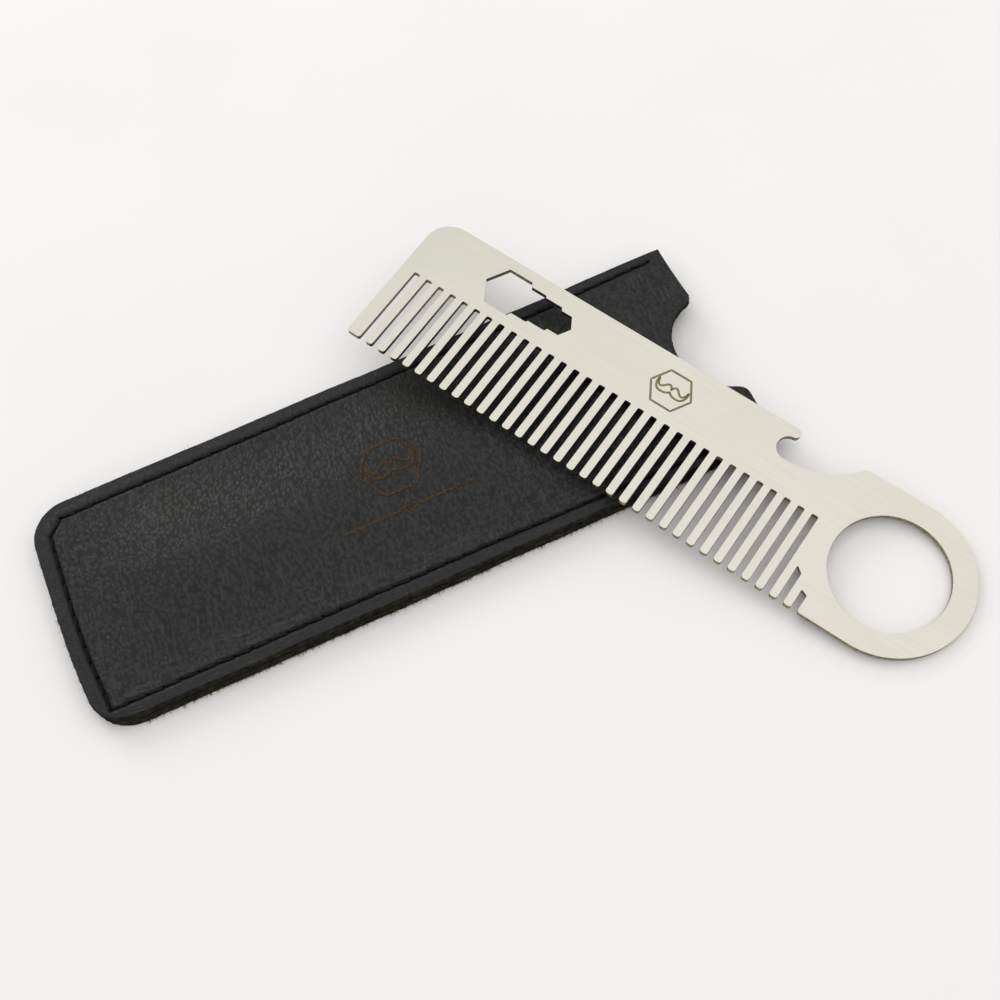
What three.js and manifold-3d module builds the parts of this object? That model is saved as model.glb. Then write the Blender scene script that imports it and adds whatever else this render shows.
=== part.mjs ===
// Steel beard comb lying across its leather sheath.
//
// Units are millimetres and +Z is up. The comb is one flat plate with teeth along one
// side, a finger ring at one end, a stepped hexagon cut-out for small bolts and a
// bottle-opener notch in its back. The sheath is two leather panels held together by a
// lock-stitched seam round three sides, with a thumb notch in its open mouth. The comb
// lies across the mouth end of the sheath: its ring end touches the ground and its
// other end is held up by the crown of the sheath's front panel.

import * as THREE from 'three';
import { mergeVertices } from 'three/addons/utils/BufferGeometryUtils.js';
import Module from 'manifold-3d';

const wasm = await Module();
wasm.setup();

// ---------------------------------------------------------------- driving dimensions

// Comb plate: X runs from the end tooth to the ring, Y from the tooth tips to the back.
const combLength = 139;
const combHeight = 35;
const plateThickness = 1.2;
const backCornerRadius = 6;

// Teeth and the slots between them.
const toothLength = 20;
const toothWidth = 1.7;
const endToothWidth = 3.3;
const slotWidth = 1.5;
const toothTipRadius = 0.65;
const endToothTipRadius = 0.8;
const slotCornerRadius = 0.4;
const shortestSlot = 3;

// Finger ring: its band is what the comb's height leaves round the hole.
const fingerHoleDiameter = 25;

// Hexagon cut-out: sizes across the flats, and where each hexagon's centre lies.
const hexSizes = [10, 8, 7, 5.5];
const hexFromEnd = 22.8;
const hexSpacings = [4.9, 4.7, 3.5];

// Bottle opener: a nose over a round pocket, then a long sweep back to the edge.
const openerFromRing = 30.1;
const openerPocketDepth = 5;
const openerPocketRadius = 2.75;
const openerNoseRadius = 1.2;
const openerNoseSetback = 0.75;
const openerFlat = 1.1;
const openerSweepRadius = 17.2;
const openerLipRadius = 2;

// Sheath leather and seam.
const leatherThickness = 1.9;
const seamGap = 0.3;
const seamInset = 3.3;
const seamCornerRadius = 2.5;
const seamEndSetback = 3.5;
const threadDiameter = 0.6;
const threadClearance = 0.3;
const needleThreadProud = 0.15;
const bobbinThreadRecess = 0.1;

// Room that the pocket leaves round the comb, and how far its front panel rises.
const pocketSideRoom = 5.4;
const pocketEndRoom = 6.7;
const pocketDepthRoom = 1;
const crownRise = 24;
const closedCornerRadius = 8;

// Thumb notch in the mouth. The back panel's notch is cut a little wider and deeper, so
// that its edge stays behind the front panel's.
const notchRadius = 12;
const backNotchStep = 2.2;
const notchCentreBeyondMouth = 2;
const notchShoulderRadius = 2.5;
const notchOffset = -1.6;

// How the two lie: the angle between them, and where their centre lines cross.
const sheathTurn = 59.7;
const crossingFromEndTooth = 48.5;
const crossingFromMouth = 32.4;
const restGap = 0.3;
const restMargin = 1.5;

// How finely curves are cut into straight steps, and how close two of them may come.
const ringSteps = 96;
const arcSteps = 4;
const panelStep = 2.2;
const leastPanelStep = 0.3;
const crownRows = 10;
const flatRows = 4;

// Lengths closer than this are the same, and points closer than the second are one point.
const sameLength = 0.01;
const samePoint = 1e-4;

// ---------------------------------------------------------------- values worked out

const degrees = Math.PI / 180;
const toothPitch = toothWidth + slotWidth;
const ringRadius = combHeight / 2;
const ringCentre = new THREE.Vector2(combLength - ringRadius, combHeight / 2);
const sheathWidth = combHeight + 2 * (pocketSideRoom + seamInset);
const sheathLength = combLength + pocketEndRoom + seamInset;
const crownHeight = plateThickness + pocketDepthRoom;
const sheathHeight = 2 * leatherThickness + seamGap;
const grooveWidth = threadDiameter + 2 * threadClearance;
const cutterLength = 3 * plateThickness;

// ---------------------------------------------------------------- materials

const brushedSteel = new THREE.MeshStandardMaterial({
  color: 0xd8d5c8, roughness: 0.38, metalness: 1,
});
const blackLeather = new THREE.MeshStandardMaterial({
  color: 0x2c2d2e, roughness: 0.6, metalness: 0,
});
const blackThread = new THREE.MeshStandardMaterial({
  color: 0x121213, roughness: 0.7, metalness: 0,
});

// ---------------------------------------------------------------- shared helpers

// A closed three.js geometry as a solid that can be cut.
function toSolid(geometry) {
  const bare = geometry.clone();
  bare.deleteAttribute('normal');
  bare.deleteAttribute('uv');
  const merged = mergeVertices(bare, samePoint);
  const vertProperties = Float32Array.from(merged.attributes.position.array);
  const triVerts = Uint32Array.from(merged.index.array);
  return new wasm.Manifold(new wasm.Mesh({ numProp: 3, vertProperties, triVerts }));
}

// A cut solid back as a flat-shaded three.js geometry.
function toGeometry(solid) {
  const mesh = solid.getMesh();
  const geometry = new THREE.BufferGeometry();
  geometry.setAttribute('position', new THREE.BufferAttribute(mesh.vertProperties, 3));
  geometry.setIndex(new THREE.BufferAttribute(mesh.triVerts, 1));
  const flat = geometry.toNonIndexed();
  flat.computeVertexNormals();
  return flat;
}

// A flat outline as a slab between two heights.
function slab(shape, bottom, top, curveSegments = arcSteps) {
  const settings = { depth: top - bottom, bevelEnabled: false, curveSegments };
  return new THREE.ExtrudeGeometry(shape, settings).translate(0, 0, bottom);
}

function namedMesh(name, geometry, material) {
  const mesh = new THREE.Mesh(geometry, material);
  mesh.name = name;
  return mesh;
}

// ---------------------------------------------------------------- comb plate

// Height of the finger ring's outer circle, on its tooth side, above the tooth tips.
function ringEdgeHeight(x) {
  const across = Math.min(ringRadius, Math.abs(ringCentre.x - x));
  return ringCentre.y - Math.sqrt(ringRadius ** 2 - across ** 2);
}

// The slots from the end tooth to the ring. A slot that would cut into the ring's band
// stops short instead, where its middle and its far side meet the ring's outer circle,
// and the last ones too short to use are left out.
function slotList() {
  const slots = [];
  const ringStart = ringCentre.x - ringRadius;
  for (let left = endToothWidth; left < ringCentre.x; left += toothPitch) {
    const right = left + slotWidth;
    const full = right <= ringStart + sameLength;
    const middleHeight = ringEdgeHeight(left + slotWidth / 2);
    const leftTop = full ? toothLength : Math.min(toothLength, middleHeight);
    const rightTop = full ? toothLength : Math.min(toothLength, ringEdgeHeight(right));
    if (rightTop < shortestSlot) break;
    slots.push({ left, right, leftTop, rightTop });
  }
  return slots;
}

// Rounded corner: a straight run to just before the corner, then a curve round it.
function roundedCorner(shape, from, corner, to, radius) {
  const start = corner.clone().add(from.clone().sub(corner).setLength(radius));
  const end = corner.clone().add(to.clone().sub(corner).setLength(radius));
  shape.lineTo(start.x, start.y);
  shape.quadraticCurveTo(corner.x, corner.y, end.x, end.y);
}

function combOutline() {
  const point = (x, y) => new THREE.Vector2(x, y);
  const slots = slotList();
  const shape = new THREE.Shape();

  // Tooth tips and slots, walked from the ring back to the end tooth.
  shape.moveTo(ringCentre.x, 0);
  let edge = point(ringCentre.x, 0);
  for (const slot of [...slots].reverse()) {
    const tipRight = point(slot.right, 0);
    const topRight = point(slot.right, slot.rightTop);
    const topLeft = point(slot.left, slot.leftTop);
    const tipLeft = point(slot.left, 0);
    const nextTip = point(slot.left - toothWidth / 2, 0);
    roundedCorner(shape, edge, tipRight, topRight, toothTipRadius);
    roundedCorner(shape, tipRight, topRight, topLeft, slotCornerRadius);
    roundedCorner(shape, topRight, topLeft, tipLeft, slotCornerRadius);
    roundedCorner(shape, topLeft, tipLeft, nextTip, toothTipRadius);
    edge = nextTip;
  }
  roundedCorner(shape, edge, point(0, 0), point(0, toothLength), endToothTipRadius);

  // End edge and the rounded corner at the back.
  shape.lineTo(0, combHeight - backCornerRadius);
  shape.absarc(backCornerRadius, combHeight - backCornerRadius, backCornerRadius,
    Math.PI, Math.PI / 2, true);

  // Bottle opener: nose, pocket, sweep and lip.
  const pocket = point(ringCentre.x - openerFromRing, combHeight - openerPocketDepth);
  const nose = point(pocket.x - openerNoseSetback, combHeight - openerNoseRadius);
  const sweep = point(pocket.x + openerFlat,
    pocket.y - openerPocketRadius + openerSweepRadius);
  const lipRise = sweep.y - combHeight + openerLipRadius;
  const lipReach = Math.sqrt((openerSweepRadius + openerLipRadius) ** 2 - lipRise ** 2);
  const lip = point(sweep.x + lipReach, combHeight - openerLipRadius);
  const lipAngle = Math.atan2(-lipRise, lipReach);
  const pocketStart = Math.PI - Math.acos(openerNoseSetback / openerPocketRadius);
  shape.lineTo(nose.x, combHeight);
  shape.absarc(nose.x, nose.y, openerNoseRadius, Math.PI / 2, -Math.PI / 2, true);
  shape.absarc(pocket.x, pocket.y, openerPocketRadius, pocketStart, 1.5 * Math.PI, false);
  shape.absarc(sweep.x, sweep.y, openerSweepRadius, -Math.PI / 2, lipAngle, false);
  shape.absarc(lip.x, lip.y, openerLipRadius, Math.PI + lipAngle, Math.PI / 2, true);

  // Back edge and the outside of the finger ring.
  shape.lineTo(ringCentre.x, combHeight);
  const ringTurn = ringSteps / 2;
  for (let step = 1; step <= ringTurn; step += 1) {
    const angle = Math.PI / 2 - (step / ringTurn) * Math.PI;
    shape.lineTo(ringCentre.x + ringRadius * Math.cos(angle),
      ringCentre.y + ringRadius * Math.sin(angle));
  }
  return shape;
}

// A hexagonal or many-sided prism that cuts right through the plate.
function cutter(radius, sides, x, y) {
  const prism = new THREE.CylinderGeometry(radius, radius, cutterLength, sides);
  prism.rotateX(Math.PI / 2).rotateZ(Math.PI / 2);
  return toSolid(prism.translate(x, y, plateThickness / 2));
}

function combPlate() {
  let plate = toSolid(slab(combOutline(), 0, plateThickness));
  const fingerHole = cutter(fingerHoleDiameter / 2, ringSteps, ringCentre.x, ringCentre.y);
  plate = plate.subtract(fingerHole);
  const hexLine = (toothLength + combHeight) / 2;
  let hexX = hexFromEnd;
  hexSizes.forEach((acrossFlats, index) => {
    plate = plate.subtract(cutter(acrossFlats / Math.sqrt(3), 6, hexX, hexLine));
    hexX += hexSpacings[index] ?? 0;
  });
  return toGeometry(plate);
}

// ---------------------------------------------------------------- sheath outline

// In the sheath's own frame U runs from the closed end to the mouth and V across it,
// with V = 0 on the centre line.
const halfWidth = sheathWidth / 2;

// A notch of a given radius: how far across it the shoulders and the round part reach.
function notchOf(radius) {
  const shoulderReach = Math.sqrt((radius + notchShoulderRadius) ** 2
    - (notchCentreBeyondMouth + notchShoulderRadius) ** 2);
  const roundReach = radius * shoulderReach / (radius + notchShoulderRadius);
  return { radius, shoulderReach, roundReach };
}
const frontNotch = notchOf(notchRadius);
const backNotch = notchOf(notchRadius + backNotchStep);

// Where the closed end's edge lies at a given V.
function closedEdge(v) {
  const intoCorner = Math.abs(v) - (halfWidth - closedCornerRadius);
  if (intoCorner <= 0) return 0;
  const along = Math.sqrt(Math.max(0, closedCornerRadius ** 2 - intoCorner ** 2));
  return closedCornerRadius - along;
}

// Where the mouth's edge lies at a given V: straight, round the shoulders, or in the notch.
function mouthEdge(v, notch) {
  const across = Math.abs(v - notchOffset);
  if (across <= notch.roundReach) {
    const back = Math.sqrt(notch.radius ** 2 - across ** 2);
    return sheathLength + notchCentreBeyondMouth - back;
  }
  if (across >= notch.shoulderReach) return sheathLength;
  const round = Math.sqrt(notchShoulderRadius ** 2 - (notch.shoulderReach - across) ** 2);
  return sheathLength - notchShoulderRadius + round;
}

// The V values at which the outline is cut: close together round corners and shoulders.
function panelStations(notch) {
  const values = [];
  for (let step = 0; step <= arcSteps; step += 1) {
    const turn = (step / arcSteps) * Math.PI / 2;
    const corner = halfWidth - closedCornerRadius + closedCornerRadius * Math.sin(turn);
    const shoulder = notch.shoulderReach
      - (notch.shoulderReach - notch.roundReach) * Math.sin(turn);
    values.push(corner, -corner, notchOffset + shoulder, notchOffset - shoulder);
  }
  const steps = Math.round(2 * halfWidth / panelStep);
  for (let step = 0; step <= steps; step += 1) {
    values.push(-halfWidth + step * 2 * halfWidth / steps);
  }
  values.sort((a, b) => a - b);
  const kept = [values[0]];
  for (const value of values) {
    if (value - kept[kept.length - 1] > leastPanelStep) kept.push(value);
  }
  kept[kept.length - 1] = halfWidth;
  return kept;
}

// ---------------------------------------------------------------- sheath panels

// How far the front panel is formed up over the pocket.
function crown(u, v) {
  const pocketHalf = halfWidth - seamInset - grooveWidth;
  const across = Math.min(1, Math.abs(v) / pocketHalf);
  const along = Math.min(1, Math.max(0, (u - seamInset - grooveWidth) / crownRise));
  return crownHeight * Math.cos(across * Math.PI / 2) ** 2
    * Math.sin(along * Math.PI / 2) ** 2;
}

// A leather sheet of even thickness over the panel outline. Its rows are close together
// at the closed end, where the crown rises.
function formedSheet(bottomHeight) {
  const stations = panelStations(frontNotch);
  const rise = (crownRise + seamInset + grooveWidth) / sheathLength;
  const rows = [];
  for (let row = 0; row < crownRows; row += 1) rows.push(rise * row / crownRows);
  for (let row = 0; row <= flatRows; row += 1) rows.push(rise + (1 - rise) * row / flatRows);

  const positions = [];
  for (const top of [false, true]) {
    for (const v of stations) {
      for (const row of rows) {
        const u = closedEdge(v) + (mouthEdge(v, frontNotch) - closedEdge(v)) * row;
        positions.push(u, v, bottomHeight + crown(u, v) + (top ? leatherThickness : 0));
      }
    }
  }
  const columns = stations.length;
  const across = rows.length;
  const at = (top, column, row) => (top * columns + column) * across + row;
  const faces = [];
  const quad = (a, b, c, d) => faces.push(a, b, c, a, c, d);
  for (let column = 0; column < columns - 1; column += 1) {
    for (let row = 0; row < across - 1; row += 1) {
      quad(at(1, column, row), at(1, column, row + 1),
        at(1, column + 1, row + 1), at(1, column + 1, row));
      quad(at(0, column, row), at(0, column + 1, row),
        at(0, column + 1, row + 1), at(0, column, row + 1));
    }
    quad(at(0, column, 0), at(1, column, 0), at(1, column + 1, 0), at(0, column + 1, 0));
    quad(at(0, column + 1, across - 1), at(1, column + 1, across - 1),
      at(1, column, across - 1), at(0, column, across - 1));
  }
  for (let row = 0; row < across - 1; row += 1) {
    quad(at(0, 0, row + 1), at(1, 0, row + 1), at(1, 0, row), at(0, 0, row));
    quad(at(0, columns - 1, row), at(1, columns - 1, row),
      at(1, columns - 1, row + 1), at(0, columns - 1, row + 1));
  }
  const geometry = new THREE.BufferGeometry();
  geometry.setAttribute('position', new THREE.Float32BufferAttribute(positions, 3));
  geometry.setIndex(faces);
  return geometry;
}

// The flat panel's outline, with its own notch.
function panelOutline(notch) {
  const stations = panelStations(notch);
  const mouth = stations.map((v) => new THREE.Vector2(mouthEdge(v, notch), v));
  const closed = [...stations].reverse().map((v) => new THREE.Vector2(closedEdge(v), v));
  return new THREE.Shape([...mouth, ...closed]);
}

// The seam as a band round three sides: the groove and the thread in it share it.
function seamBand(width) {
  const half = width / 2;
  const line = halfWidth - seamInset;
  const end = sheathLength - seamEndSetback + half;
  const turn = line - seamCornerRadius;
  const centre = seamInset + seamCornerRadius;
  const outer = seamCornerRadius + half;
  const inner = seamCornerRadius - half;
  const shape = new THREE.Shape();
  shape.moveTo(end, -line - half);
  shape.lineTo(end, -line + half);
  shape.absarc(centre, -turn, inner, -Math.PI / 2, -Math.PI, true);
  shape.absarc(centre, turn, inner, Math.PI, Math.PI / 2, true);
  shape.lineTo(end, line - half);
  shape.lineTo(end, line + half);
  shape.absarc(centre, turn, outer, Math.PI / 2, Math.PI, false);
  shape.absarc(centre, -turn, outer, Math.PI, 1.5 * Math.PI, false);
  return shape;
}

// Heights of the two threads: the needle thread stands a little proud on the front, and
// the bobbin thread is sunk into the back so that the sheath rests on leather.
const needleBottom = sheathHeight + needleThreadProud - threadDiameter;
const bobbinBottom = bobbinThreadRecess;

function frontPanel() {
  const groove = slab(seamBand(grooveWidth), needleBottom - threadClearance,
    sheathHeight + leatherThickness);
  const sheet = toSolid(formedSheet(leatherThickness + seamGap));
  return toGeometry(sheet.subtract(toSolid(groove)));
}

function backPanel() {
  const grooveTop = bobbinBottom + threadDiameter + threadClearance;
  const groove = slab(seamBand(grooveWidth), -leatherThickness, grooveTop);
  const sheet = toSolid(slab(panelOutline(backNotch), 0, leatherThickness));
  return toGeometry(sheet.subtract(toSolid(groove)));
}

// A thread laid along the seam, with its long edges bevelled so that its section is a
// regular octagon.
function seamThread(bottom) {
  const bevel = threadDiameter * (1 - Math.SQRT1_2);
  const core = threadDiameter - 2 * bevel;
  const settings = {
    depth: core,
    bevelEnabled: true,
    bevelSize: bevel,
    bevelThickness: bevel,
    bevelSegments: 1,
    curveSegments: arcSteps,
  };
  const strip = new THREE.ExtrudeGeometry(seamBand(core), settings);
  return toGeometry(toSolid(strip.translate(0, 0, bottom + bevel)));
}

// ---------------------------------------------------------------- assembly

// The sheath lies flat, turned under the comb. The two centre lines cross at X = Y = 0.
const sheath = new THREE.Group();
sheath.rotation.z = sheathTurn * degrees;
const crossingOnSheath = new THREE.Vector3(sheathLength - crossingFromMouth, 0, 0);
sheath.position.copy(crossingOnSheath.applyEuler(sheath.rotation).negate());
const frontMesh = namedMesh('sheath_front_panel', frontPanel(), blackLeather);
sheath.add(frontMesh);
sheath.add(namedMesh('sheath_back_panel', backPanel(), blackLeather));
sheath.add(namedMesh('needle_thread', seamThread(needleBottom), blackThread));
sheath.add(namedMesh('bobbin_thread', seamThread(bobbinBottom), blackThread));
sheath.updateMatrixWorld(true);

// The comb's lean: the least slope from its ring end that clears every point of the
// front panel beneath it.
const ringEnd = combLength - crossingFromEndTooth;
function leanOverSheath() {
  const surface = frontMesh.geometry.attributes.position;
  const spot = new THREE.Vector3();
  let slope = 0;
  for (let index = 0; index < surface.count; index += 1) {
    spot.fromBufferAttribute(surface, index).applyMatrix4(frontMesh.matrixWorld);
    const beneath = Math.abs(spot.y) <= combHeight / 2 + restMargin;
    const run = ringEnd - spot.x;
    if (beneath && run > 0 && run < combLength) {
      slope = Math.max(slope, (spot.z + restGap) / run);
    }
  }
  return Math.atan(slope);
}

const comb = new THREE.Group();
comb.rotation.y = leanOverSheath();
comb.position.x = ringEnd;
const combMesh = namedMesh('comb_plate', combPlate(), brushedSteel);
combMesh.position.set(-combLength, -combHeight / 2, 0);
comb.add(combMesh);

const beardComb = new THREE.Group();
beardComb.name = 'beard_comb_with_sheath';
beardComb.add(comb, sheath);

// The origin is at the middle of the whole, on the ground.
beardComb.updateMatrixWorld(true);
const bounds = new THREE.Box3().setFromObject(beardComb, true);
const middle = bounds.getCenter(new THREE.Vector3());
beardComb.position.set(-middle.x, -middle.y, -bounds.min.z);

export default beardComb;
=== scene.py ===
# %% [markdown]
# # A steel beard comb lying across its leather sheath
#
# The real thing has two parts. The comb is one flat plate of stainless steel, cut out by
# laser and brushed lengthways. The sheath is two pieces of black cowhide, sewn together
# round three sides with one row of lock stitches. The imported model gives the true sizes
# and places. This script builds the fine surfaces on top of it: the crisp cut edges, the
# formed and grained leather, and every stitch of the seam.

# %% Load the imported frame
import math

import bmesh
import bpy
import numpy as np
from mathutils import Matrix, Vector


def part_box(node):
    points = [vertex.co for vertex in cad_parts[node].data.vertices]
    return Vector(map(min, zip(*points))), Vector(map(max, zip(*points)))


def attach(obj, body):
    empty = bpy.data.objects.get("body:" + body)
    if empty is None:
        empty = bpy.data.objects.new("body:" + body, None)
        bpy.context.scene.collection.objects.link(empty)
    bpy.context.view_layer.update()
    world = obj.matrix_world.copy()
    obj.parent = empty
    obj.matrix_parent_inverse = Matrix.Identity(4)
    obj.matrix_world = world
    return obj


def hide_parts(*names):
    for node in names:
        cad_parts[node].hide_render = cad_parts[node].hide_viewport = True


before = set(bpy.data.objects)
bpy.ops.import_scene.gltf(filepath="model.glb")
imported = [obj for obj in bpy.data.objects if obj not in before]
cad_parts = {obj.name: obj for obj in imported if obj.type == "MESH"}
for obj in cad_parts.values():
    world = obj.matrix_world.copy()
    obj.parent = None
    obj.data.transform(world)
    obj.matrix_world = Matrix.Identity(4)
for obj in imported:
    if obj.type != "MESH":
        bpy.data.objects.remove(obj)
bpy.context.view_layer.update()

print("packed pieces:", sorted(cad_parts))

# %% [markdown]
# ## Units and colours
#
# The pieces are drawn in millimetres, each in its own frame, because that is how a maker
# measures them. Blender works in metres, so every mesh is scaled once, when it is made.
# Colours are written as sRGB hex values, and one function turns them into the linear
# values that shaders and lamps use.

# %% Units and colours
MM = 0.001


def linear(hex_colour, alpha=1.0):
    """An sRGB hex colour as linear red, green and blue, with alpha."""
    shares = [int(hex_colour[i:i + 2], 16) / 255 for i in (1, 3, 5)]
    return [s / 12.92 if s <= 0.04045 else ((s + 0.055) / 1.055) ** 2.4 for s in shares] + [alpha]


# %% [markdown]
# ## The camera
#
# A three-quarter view from above, on a lens of about 50 mm, tilted a little to one side.
# It comes first, because everything after it is judged through it.

# %% Camera
camera_place = Vector((0.07987, -0.09180, 0.26009))
camera_target = Vector((-0.00773, 0.00689, 0.0))
camera_roll = math.radians(-7.44)

camera_data = bpy.data.cameras.new("studio_camera")
camera_data.sensor_width = 36
camera_data.lens = 50.3
camera_data.clip_start = 0.01
camera = bpy.data.objects.new("studio_camera", camera_data)
aim = (camera_target - camera_place).to_track_quat("-Z", "Y").to_matrix().to_4x4()
camera.matrix_world = Matrix.Translation(camera_place) @ aim @ Matrix.Rotation(camera_roll, 4, "Z")
bpy.context.scene.collection.objects.link(camera)
bpy.context.scene.camera = camera
print(f"camera is {(camera_place - camera_target).length * 1000:.0f} mm from the middle of the view")

# %% [markdown]
# ## One way to write a material
#
# A material is a small graph of nodes. One function adds a node, sets it up and links its
# inputs: an input that is given another node's output is linked, and anything else is
# typed into the socket. Every material below is written with it.


# %% Node and material helpers
def add(tree, kind, inputs=None, **settings):
    """Adds one shader node, sets its settings, and fills or links its inputs."""
    made = tree.nodes.new("ShaderNode" + kind)
    for name, value in settings.items():
        setattr(made, name, value)
    for name, value in (inputs or {}).items():
        if isinstance(value, bpy.types.NodeSocket):
            tree.links.new(value, made.inputs[name])
        else:
            made.inputs[name].default_value = value
    return made


def new_material(name):
    """An empty material, its node tree and its output node."""
    material = bpy.data.materials.new(name)
    material.use_nodes = True
    tree = material.node_tree
    tree.nodes.clear()
    return material, tree, tree.nodes.new("ShaderNodeOutputMaterial")


def ramp(tree, factor, *stops):
    """Colours set along a factor: each stop is a place from 0 to 1 and a linear colour."""
    made = add(tree, "ValToRGB", {"Fac": factor})
    stones = made.color_ramp.elements
    while len(stones) < len(stops):
        stones.new(0.5)
    for stone, (place, colour) in zip(stones, stops):
        stone.position = place
        stone.color = colour
    return made.outputs["Color"]


def per_mm(size):
    """The texture scale at which one cell of a pattern is this many millimetres."""
    return 1 / (size * MM)


# %% [markdown]
# ## Brushed stainless steel
#
# The comb is 304 stainless sheet with a brushed finish: a fine abrasive belt has run along
# its length. The grit leaves straight scratches, a few hundredths of a millimetre wide and
# some centimetres long. They spread reflections sideways and keep them short lengthways,
# so the face looks satin and even, and slightly warm beside white paper. Real scratches
# are too fine to show here, so they are drawn 0.12 mm wide.


# %% Brushed steel
def brushed_stainless():
    material, tree, output = new_material("brushed_stainless_steel")
    place = add(tree, "TexCoord").outputs["Object"]
    belt = add(tree, "Mapping", {"Vector": place, "Scale": (0.006, 1, 1)})
    scratches = add(tree, "TexNoise", {
        "Vector": belt.outputs["Vector"], "Scale": per_mm(0.12), "Detail": 4, "Roughness": 0.65})
    handling = add(tree, "TexNoise", {"Vector": place, "Scale": per_mm(14), "Detail": 3})
    tone = ramp(tree, scratches.outputs["Fac"],
                (0.3, linear("#bdbbb1")), (0.7, linear("#cbc9c0")))
    gloss = add(tree, "MapRange", {
        "Value": handling.outputs["Fac"], "From Min": 0.3, "From Max": 0.7,
        "To Min": 0.31, "To Max": 0.35})
    relief = add(tree, "Bump", {
        "Strength": 0.3, "Distance": 0.003 * MM, "Height": scratches.outputs["Fac"]})
    along = add(tree, "VectorTransform", {"Vector": (1, 0, 0)},
                vector_type="VECTOR", convert_from="OBJECT", convert_to="WORLD")
    steel = add(tree, "BsdfPrincipled", {
        "Base Color": tone, "Metallic": 1.0, "Roughness": gloss.outputs["Result"],
        "Anisotropic": 0.55, "Normal": relief.outputs["Normal"],
        "Tangent": along.outputs["Vector"]})
    tree.links.new(steel.outputs["BSDF"], output.inputs["Surface"])
    return material


# %% [markdown]
# ## Laser-cut walls and laser marks
#
# A laser melts its way through the sheet, so the walls of the slots and holes are striped
# across the thickness and tinted brown by heat. The same laser at low power only warms the
# face: it grows a thin dark oxide, which is how marks are put on knives.


# %% Laser-cut wall and laser mark
def laser_cut_wall():
    material, tree, output = new_material("laser_cut_steel_wall")
    place = add(tree, "TexCoord").outputs["Object"]
    across = add(tree, "Mapping", {"Vector": place, "Scale": (1, 1, 0.15)})
    stripes = add(tree, "TexNoise", {
        "Vector": across.outputs["Vector"], "Scale": per_mm(0.25), "Detail": 2})
    tint = ramp(tree, stripes.outputs["Fac"],
                (0.25, linear("#5d523a")), (0.75, linear("#b0a68a")))
    relief = add(tree, "Bump", {
        "Strength": 0.6, "Distance": 0.03 * MM, "Height": stripes.outputs["Fac"]})
    wall = add(tree, "BsdfPrincipled", {
        "Base Color": tint, "Metallic": 1.0, "Roughness": 0.42, "Normal": relief.outputs["Normal"]})
    tree.links.new(wall.outputs["BSDF"], output.inputs["Surface"])
    return material


def laser_mark():
    material, tree, output = new_material("laser_mark_oxide")
    place = add(tree, "TexCoord").outputs["Object"]
    spots = add(tree, "TexNoise", {"Vector": place, "Scale": per_mm(0.2), "Detail": 3})
    tint = ramp(tree, spots.outputs["Fac"],
                (0.3, linear("#6f6647")), (0.7, linear("#8f8767")))
    oxide = add(tree, "BsdfPrincipled", {"Base Color": tint, "Metallic": 0.6, "Roughness": 0.5})
    tree.links.new(oxide.outputs["BSDF"], output.inputs["Surface"])
    return material


# %% [markdown]
# ## Black grained cowhide
#
# The sheath is full-grain cowhide, dyed through and finished with a thin coat of black
# pigment. The grain is soft: rounded pebbles about 1 mm across and pores that are finer
# still. Short fine folds run across the sheath, where the hide was stretched over the
# comb, and a painted highlight makes their crests a little paler. Outside the seam the
# hide was never stretched, so the margin is smoother and its coat is fresher and bluer.
# The channel that the stitches pull in and the needle's holes get painted shade: they are
# marked on the mesh, as an attribute, and this material darkens the coat and dims its
# reflection there.


# %% Where a point is on the sheath
margin_sides, margin_end = (22.3, 23.3), (4.2, 3.2)


def on_sheath(tree):
    """Coordinates on the sheath: U along it, V across it, and height, in metres."""
    place = add(tree, "TexCoord").outputs["Object"]
    drawn = add(tree, "Mapping", {
        "Vector": place, "Location": sheath_origin, "Rotation": (0, 0, sheath_turn)},
        vector_type="TEXTURE")
    return drawn.outputs["Vector"]


def past_the_seam(tree, place):
    """A mask that is 1 on the margin outside the seam and 0 inside it."""
    parts = add(tree, "SeparateXYZ", {"Vector": place})
    aside = add(tree, "Math", {0: parts.outputs["Y"]}, operation="ABSOLUTE")
    at_side = add(tree, "MapRange", {
        "Value": aside.outputs["Value"], "From Min": margin_sides[0] * MM,
        "From Max": margin_sides[1] * MM})
    at_end = add(tree, "MapRange", {
        "Value": parts.outputs["X"], "From Min": margin_end[0] * MM,
        "From Max": margin_end[1] * MM})
    both = add(tree, "Math", {0: at_side.outputs["Result"], 1: at_end.outputs["Result"]},
               operation="MAXIMUM")
    return both.outputs["Value"]


# %% Leather grain side
pebble_size, pore_size, wander_size, stretch_size = 0.85, 0.45, 2.2, 11.0
across_folds, seam_folds = (-8, 0.85, 6.5), (86, 0.75, 5.0)


def fold_lines(tree, place, turn, width, length):
    """Fine folds, turned this many degrees from V, of a width and length in mm.

    The value is 1 on a fold's crest and 0 between folds.
    """
    drawn = add(tree, "Mapping", {
        "Vector": place, "Rotation": (0, 0, math.radians(turn)),
        "Scale": (1, length / width, 1)}, vector_type="TEXTURE")
    waves = add(tree, "TexNoise", {
        "Vector": drawn.outputs["Vector"], "Scale": per_mm(width), "Detail": 1})
    crest = add(tree, "MapRange", {
        "Value": waves.outputs["Fac"], "From Min": 0.53, "From Max": 0.70},
        interpolation_type="SMOOTHSTEP")
    return crest.outputs["Result"]


def product(tree, one, other):
    """One value times another."""
    return add(tree, "Math", {0: one, 1: other}, operation="MULTIPLY").outputs["Value"]


def plus(tree, one, share, other):
    """One value times a share, plus another."""
    return add(tree, "Math", {0: one, 1: share, 2: other}, operation="MULTIPLY_ADD").outputs["Value"]


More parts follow.
